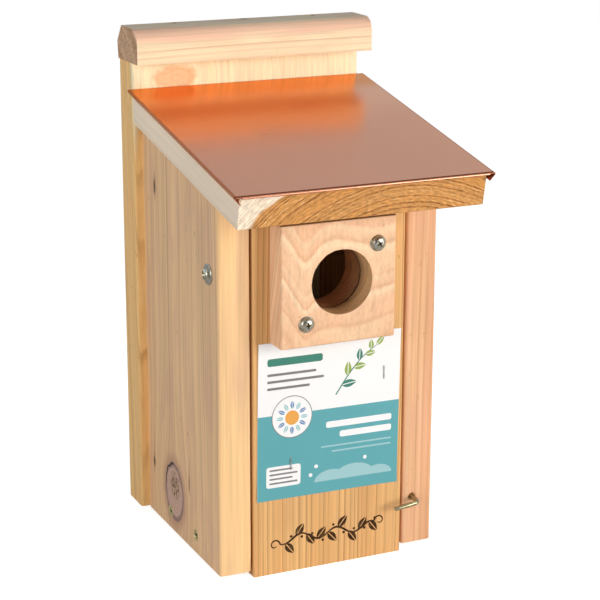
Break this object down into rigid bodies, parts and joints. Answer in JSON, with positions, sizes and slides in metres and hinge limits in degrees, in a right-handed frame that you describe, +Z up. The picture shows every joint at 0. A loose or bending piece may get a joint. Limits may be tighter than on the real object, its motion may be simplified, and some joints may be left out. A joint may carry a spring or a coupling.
{
  "type": "bluebird nest box",
  "caption": "Cedar bluebird nest box on a back board, with a sloped copper-clad roof, a swing-up front with a round entrance in a guard block, and a turn latch.",
  "frame": {"origin": "centre of the bottom of the bounding box, level with the lower end of the front board", "axes": "+Z up, front with the entrance towards -Y, back board's rear face towards +Y, turn latch on the +X side"},
  "size_m": [0.1574, 0.19, 0.3109],
  "materials": {
    "cedar_board": "planed, unfinished cedar",
    "cedar_block": "planed, unfinished cedar, pinker",
    "copper": "satin copper sheet",
    "zinc": "bright zinc plate",
    "zinc_pin": "yellowed zinc plate",
    "card": "coated white card with fields of teal"
  },
  "bodies": {
    "house": {"back_board": "cedar_board", "top_cap": "cedar_board", "left_side": "cedar_board", "right_side": "cedar_board", "floor_board": "cedar_board", "roof_board": "cedar_board", "copper_cover": "copper", "cap_nails": "zinc", "floor_screws_left": "zinc", "floor_screws_right": "zinc", "back_screws": "zinc", "roof_back_screws": "zinc", "roof_screws": "zinc"},
    "front": {"door": "cedar_board", "guard_block": "cedar_block", "guard_screws": "zinc", "pivot_screw_left": "zinc", "pivot_screw_right": "zinc", "label_card": "card", "label_staples": "zinc_pin"},
    "latch": {"latch_hook": "zinc_pin"}
  },
  "joints": [
    {"name": "door_swing", "type": "hinge", "parent": "house", "child": "front", "pos_m": [0, -0.03154, 0.1844], "axis": [-1, 0, 0], "range_deg": [0, 100]},
    {"name": "latch_turn", "type": "hinge", "parent": "house", "child": "latch", "pos_m": [0.0564, -0.04494, 0.0337], "axis": [0, 1, 0], "range_deg": [0, 180]}
  ]
}
